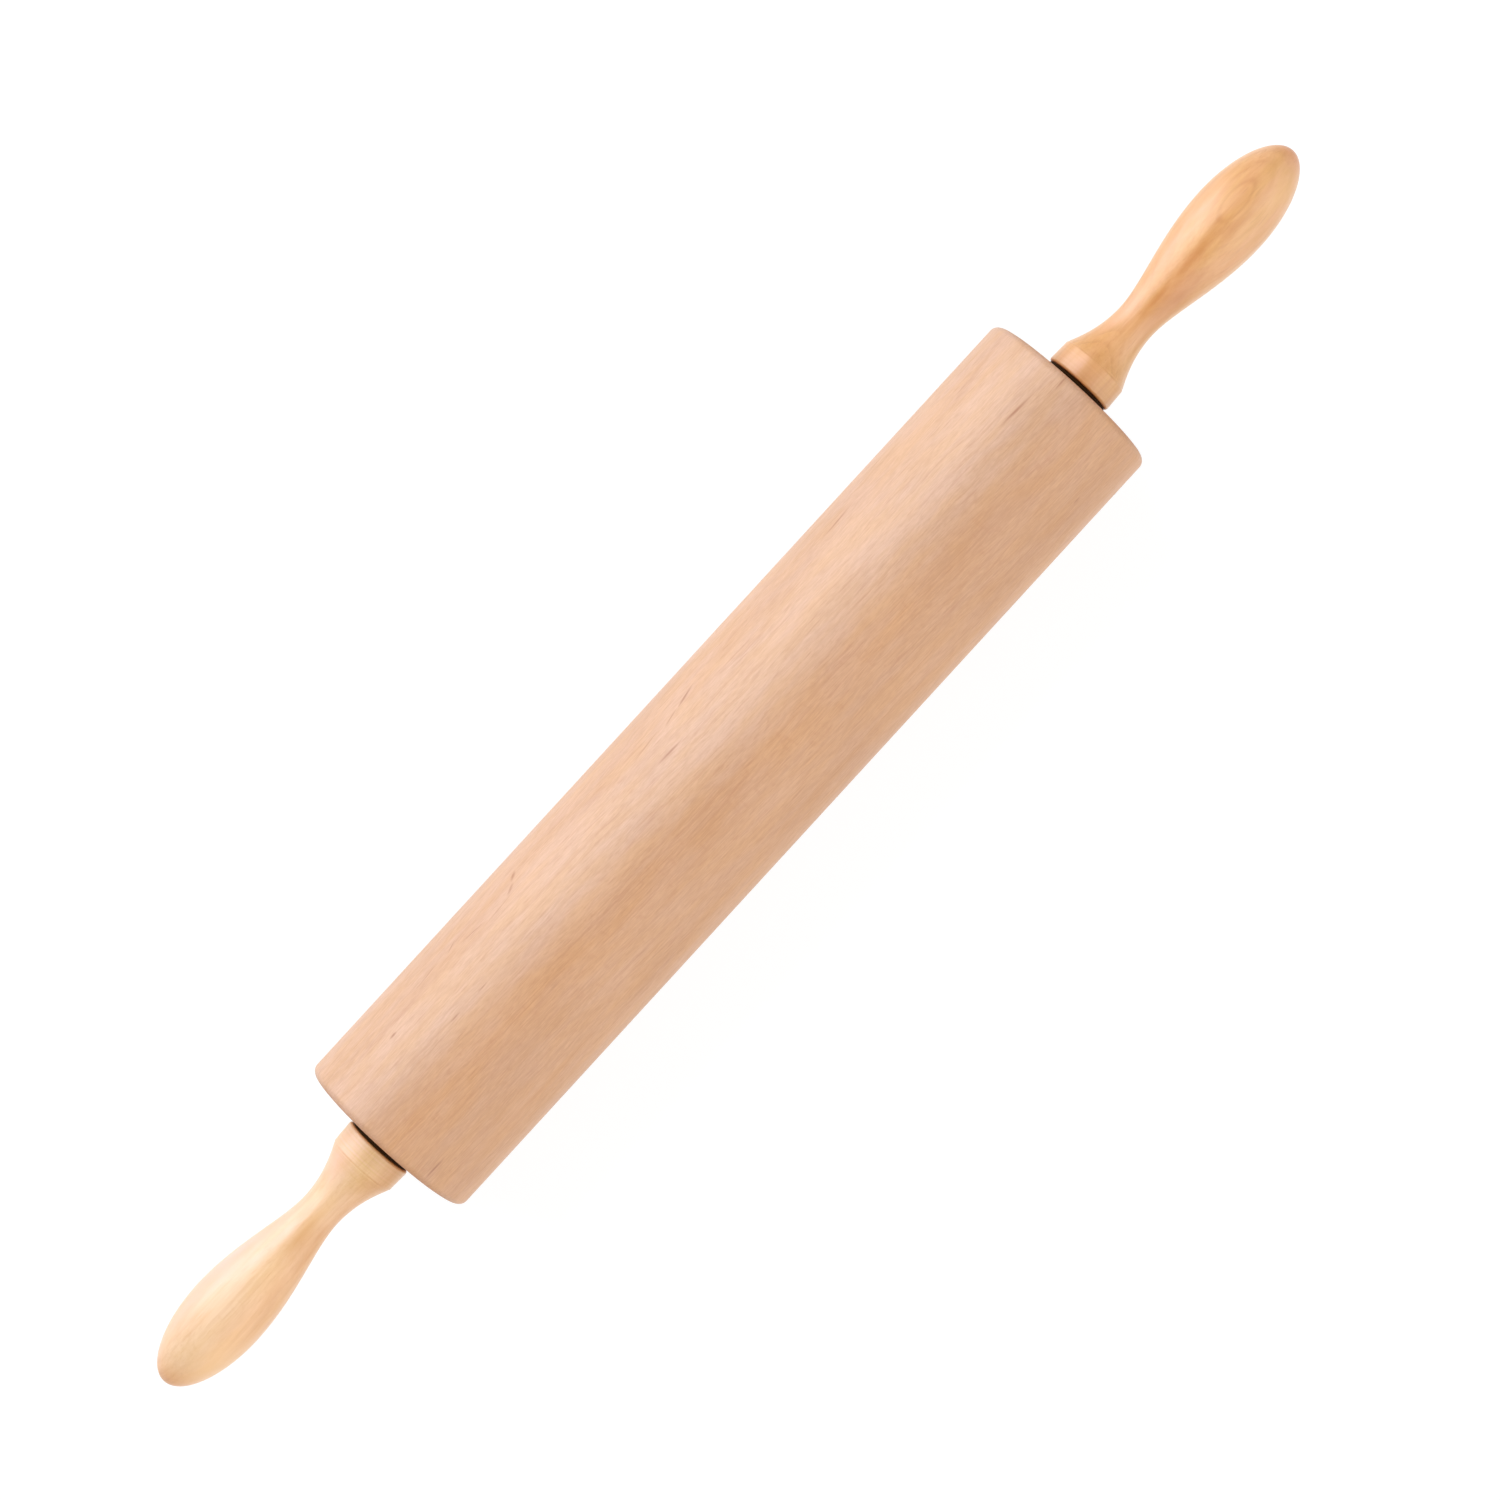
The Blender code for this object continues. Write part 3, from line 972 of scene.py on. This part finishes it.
# The right handle is from a honey-coloured board, with an oval figure on its swell
RIGHT_HANDLE_LOOK = {
    "pale": "#E3B482",
    "deep": "#D69D66",
    "line": ("#B97B42", 0.3),
    "dash": ("#BE8450", 0.25),
    "ray": ("#C48B54", 0.1),
    "straw": ("#F8F6DA", 1.0),
    "outer": ("#FFF6EA", 1.0),
    "tool": ("#F6F2D6", 0.8),
    "end": ("#FFD0A0", 0.8),
    "heart_and_shade_reach": (40.0, 55.0),
    "pith": (-6.0, -29.0),
    "lean": (0.0, -0.06),
    "bow": 4.0,
    "wave": 0.7,
    "ring": 2.6,
    "fade": (0.38, 0.66),
    "ring_start": 0.5,
    "radius": SWELL_RADIUS / MM,
    "ray_radius": 60.0,
    "fibre": 0.4,
    "broad": 0.5,
    "end_rings": 1.0,
    "end_from": 0.4,
    "tool_from": 216.0,
    "tool_to": 203.0,
    "shine": 0.45,
    "roughness": 0.37,
    "film": 0.9,
    "film_roughness": 0.36,
    "marks": (
        "#C07D3C",
        [
            (244.0, -6.0, 30.0, 20.0, 0.0, 0.4),
            (240.0, -30.0, 30.0, 14.0, 0.0, 0.8),
            (243.0, -33.0, 14.0, 8.0, 0.0, 0.95),
            (232.0, 23.0, 9.0, 4.0, 0.0, 0.4),
            (238.0, 1.0, 16.0, 4.6, 0.0, 0.75),
            (257.0, 2.0, 24.0, 4.0, 2.0, 0.7),
            (252.0, -32.0, 12.0, 4.0, 6.0, 0.7),
            (274.0, -14.0, 17.0, 2.8, 0.0, 0.4),
            (274.0, 11.0, 4.5, 2.2, 0.0, 0.45),
        ],
    ),
    # The spot in the oval is its paler core and the one underneath is a pale patch. Those on the
    # lamps' side of the swell, neck and collar are painted highlights
    "pale_spots_and_painted_highlights": (
        "#E8B69C",
        [
            (284.0, 11.0, 9.5, 3.4, 4.0, 0.35),
            (266.0, 48.0, 38.0, 8.0, 0.0, 0.8),
            (230.0, 46.0, 26.0, 7.0, 0.0, 0.7),
            (278.0, -50.0, 26.0, 6.0, 0.0, 0.4),
            (199.0, 30.0, 9.0, 18.0, 0.0, 0.7),
        ],
    ),
    # The tip, mostly on the side away from the lamps, made paler and more orange: painted light,
    # with the tip's own orange tone
    "tip_tone_and_painted_light": (
        "#F1C4A0",
        [
            (302.0, -34.0, 20.0, 21.0, 0.0, 0.7),
        ],
    ),
    "ovals": (
        "#BC7C40",
        [
            (284.0, 11.0, 10.0, 3.6, 4.0, 0.24),
            (287.0, 10.0, 17.0, 7.4, 4.0, 0.15),
        ],
    ),
}


def black_nylon():
    """Nylon sheet, punched and left matt: brown-black, with a fine grain in its polish."""
    material, tree, shader = finish("punched_black_nylon", Specular_IOR_Level=0.05, IOR=1.53)
    # The real grain is finer than 0.1 mm, and is drawn coarser to show
    grain_size = 0.4 * MM
    place = add(tree, "TexCoord", output="Object")
    grain = add(
        tree, "TexNoise", {"Vector": place, "Scale": 1 / grain_size, "Detail": 2.0}
    )
    roughness = add(tree, "MapRange", {"Value": grain, "To Min": 0.55, "To Max": 0.8})
    tree.links.new(roughness, shader.inputs["Roughness"])
    tint = add(
        tree,
        "Mix",
        {SHARE: grain, COLOUR_A: linear("#241405"), COLOUR_B: linear("#352008")},
        MIXED,
        data_type="RGBA",
    )
    tree.links.new(tint, shader.inputs["Base Color"])
    bump = add(tree, "Bump", {"Height": grain, "Strength": 0.5, "Distance": 0.02 * MM})
    tree.links.new(bump, shader.inputs["Normal"])
    return material


def plated_steel():
    """Steel, drawn and bright zinc plated: bluish grey, with faint rings and mottling."""
    material, tree, shader = finish("zinc_plated_steel", Metallic=1.0)
    # Rings from the drawing die are some hundredths of a millimetre apart, and are drawn coarser
    ring_pitch = 0.2 * MM
    mottles_per_mm = 0.35
    place = add(tree, "TexCoord", output="Object")
    out = add(tree, "VectorMath", {0: place, 1: (0, 1, 1)}, operation="MULTIPLY")
    radius = add(tree, "VectorMath", {0: out}, "Value", operation="LENGTH")
    drawn = add(
        tree,
        "TexNoise",
        {"W": radius, "Scale": 1 / ring_pitch, "Detail": 2.0},
        noise_dimensions="1D",
    )
    mottle = add(
        tree, "TexNoise", {"Vector": place, "Scale": mottles_per_mm / MM, "Detail": 3.0}
    )
    tint = add(
        tree,
        "Mix",
        {SHARE: mottle, COLOUR_A: linear("#9CA0A4"), COLOUR_B: linear("#C6C9CB")},
        MIXED,
        data_type="RGBA",
    )
    tree.links.new(tint, shader.inputs["Base Color"])
    roughness = add(tree, "MapRange", {"Value": drawn, "To Min": 0.24, "To Max": 0.42})
    tree.links.new(roughness, shader.inputs["Roughness"])
    bump = add(tree, "Bump", {"Height": drawn, "Strength": 0.6, "Distance": 0.01 * MM})
    tree.links.new(bump, shader.inputs["Normal"])
    return material


def ground_steel():
    """Hardened bearing steel, ground and polished: bright, with a trace of grinding lines."""
    material, tree, shader = finish("ground_bearing_steel", Metallic=1.0)
    # The wheel leaves about a hundred lines to the millimetre, and they are drawn coarser
    lines_per_mm = 9
    line_length = 2.5 * MM
    place = add(tree, "TexCoord", output="Object")
    lines_place = add(
        tree,
        "Mapping",
        {"Vector": place, "Scale": (lines_per_mm / MM, 1 / line_length, 1 / line_length)},
    )
    lines = add(tree, "TexNoise", {"Vector": lines_place, "Scale": 1.0, "Detail": 2.0})
    tint = add(
        tree,
        "Mix",
        {SHARE: lines, COLOUR_A: linear("#C3C6C9"), COLOUR_B: linear("#DADCDE")},
        MIXED,
        data_type="RGBA",
    )
    tree.links.new(tint, shader.inputs["Base Color"])
    roughness = add(tree, "MapRange", {"Value": lines, "To Min": 0.10, "To Max": 0.2})
    tree.links.new(roughness, shader.inputs["Roughness"])
    return material


def build_pin():
    """Every piece of the pin, in place of its nodes and on its body."""
    nylon = black_nylon()
    plated = plated_steel()
    ground = ground_steel()
    handle_woods = {
        "left": wood("waxed_birch_cream", LEFT_HANDLE_LOOK),
        "right": wood("waxed_birch_honey", RIGHT_HANDLE_LOOK),
    }
    held = "handles_and_axle"
    dress(barrel(), "barrel", "barrel_wood", wood("steamed_beech", BARREL_LOOK), "barrel")
    dress(axle(), held, "axle_steel", plated, "axle_rod")
    for name, side in SIDES.items():
        dress(handle(name, side), held, "handle_wood", handle_woods[name], f"handle_{name}")
        dress(washer(name, side), held, "black_nylon", nylon, f"thrust_washer_{name}")
        dress(cone(name, side), held, "bearing_steel", ground, f"bearing_cone_{name}")
        dress(cup(name, side), "barrel", "axle_steel", plated, f"bearing_cup_{name}")
        dress(shield(name, side), "barrel", "axle_steel", plated, f"dust_shield_{name}")
        for number in range(1, BALL_COUNT + 1):
            node = f"ball_{name}_{number}"
            dress(ball(node), f"balls_{name}", "bearing_steel", ground, node)


# The photograph looks straight down on the pin, turned so that it runs to the upper right.
# The lens and the sensor are in millimetres.
CAMERA_PLACE = (0.00981, -0.00198, 1.726)
CAMERA_TURN_DEG = -47.47
CAMERA_LENS = 110.0
CAMERA_SENSOR = 36.0
CAMERA_NEAR = 0.05
CAMERA_FAR = 50.0

# Lamps: degrees from straight up towards +Y, distance, size along and across the pin, and watts
LAMPS = {
    "high_strip": (38.0, 1.3, (1.3, 0.3), 5.9),
    "middle_strip": (60.0, 1.3, (1.3, 0.3), 6.4),
    "low_strip": (82.0, 1.3, (1.3, 0.36), 5.2),
    "far_side": (-62.0, 1.9, (3.2, 2.4), 35.0),
}

# Strength of the even light from all round
SKY_LIGHT = 0.43

# The floor glows for the camera, a little more past the reach of the lamps than near the pin
FLOOR_HALF_SIZE = 8.0
GLOW_REACH = (0.6, 2.5)
GLOW_LEVEL = (0.86, 0.93)


def camera():
    """The photograph's camera, above the pin and square to it."""
    data = bpy.data.cameras.new("camera")
    data.sensor_width = CAMERA_SENSOR
    data.lens = CAMERA_LENS
    data.clip_start = CAMERA_NEAR
    data.clip_end = CAMERA_FAR
    item = bpy.data.objects.new("camera", data)
    item.location = CAMERA_PLACE
    item.rotation_euler = (0, 0, math.radians(CAMERA_TURN_DEG))
    bpy.context.scene.collection.objects.link(item)
    bpy.context.scene.camera = item


def softbox(name, direction_deg, distance, size, power):
    """A rectangular lamp that faces the pin's middle."""
    data = bpy.data.lights.new(name, "AREA")
    data.shape = "RECTANGLE"
    data.size = size[0]
    data.size_y = size[1]
    data.energy = power
    item = bpy.data.objects.new(name, data)
    angle = math.radians(direction_deg)
    item.location = (0, distance * math.sin(angle), distance * math.cos(angle))
    item.rotation_euler = (-angle, 0, 0)
    item.visible_camera = False
    bpy.context.scene.collection.objects.link(item)


def lamps():
    """Three long lamps to the upper left, one above another, and a wide one on the other side."""
    for name, (direction_deg, distance, size, power) in LAMPS.items():
        softbox(name, direction_deg, distance, size, power)


def shown(tree):
    """1 for what the camera, a reflection or a glass sees, and 0 for light on other surfaces."""
    camera_ray = add(tree, "LightPath", output="Is Camera Ray")
    seen = add(
        tree,
        "Math",
        {0: camera_ray, 1: camera_ray.node.outputs["Is Glossy Ray"]},
        operation="MAXIMUM",
    )
    return add(
        tree,
        "Math",
        {0: seen, 1: camera_ray.node.outputs["Is Transmission Ray"]},
        operation="MAXIMUM",
    )


def world():
    """White to the camera and in reflections, and an even grey light on everything else."""
    made = bpy.data.worlds.new("studio")
    made.use_nodes = True
    tree = made.node_tree
    tree.nodes.clear()
    white = add(tree, "Background", {"Color": linear("#FFFFFF"), "Strength": 1.0})
    grey = add(tree, "Background", {"Color": linear("#FFFFFF"), "Strength": SKY_LIGHT})
    mixed = add(tree, "MixShader", {0: shown(tree), 1: grey, 2: white})
    tree.links.new(mixed, tree.nodes.new("ShaderNodeOutputWorld").inputs["Surface"])
    bpy.context.scene.world = made


def floor():
    """A pale floor that shows white, keeps a faint shadow and has no edge in any view."""
    bm = bmesh.new()
    bmesh.ops.create_grid(bm, x_segments=1, y_segments=1, size=FLOOR_HALF_SIZE)
    bmesh.ops.translate(bm, verts=bm.verts, vec=(0, 0, -BARREL_RADIUS))
    mesh = bpy.data.meshes.new("floor")
    bm.to_mesh(mesh)
    bm.free()
    item = bpy.data.objects.new("floor", mesh)
    bpy.context.scene.collection.objects.link(item)
    material = bpy.data.materials.new("white_paper")
    material.use_nodes = True
    tree = material.node_tree
    tree.nodes.clear()
    matt = add(tree, "BsdfDiffuse", {"Color": linear("#E7E7E7")})
    place = add(tree, "TexCoord", output="Object")
    out = add(tree, "VectorMath", {0: place}, "Value", operation="LENGTH")
    level = add(
        tree,
        "MapRange",
        {
            "Value": out,
            "From Min": GLOW_REACH[0],
            "From Max": GLOW_REACH[1],
            "To Min": GLOW_LEVEL[0],
            "To Max": GLOW_LEVEL[1],
        },
    )
    glow = add(tree, "Emission", {"Color": linear("#FFFFFF"), "Strength": level})
    paper = add(tree, "BsdfDiffuse", {"Color": linear("#7C7C7C")})
    lit = add(tree, "AddShader", {0: glow, 1: paper})
    mixed = add(tree, "MixShader", {0: shown(tree), 1: matt, 2: lit})
    tree.links.new(mixed, tree.nodes.new("ShaderNodeOutputMaterial").inputs["Surface"])
    mesh.materials.append(material)


camera()
lamps()
world()
floor()
build_pin()

bpy.context.scene.view_settings.view_transform = "Standard"
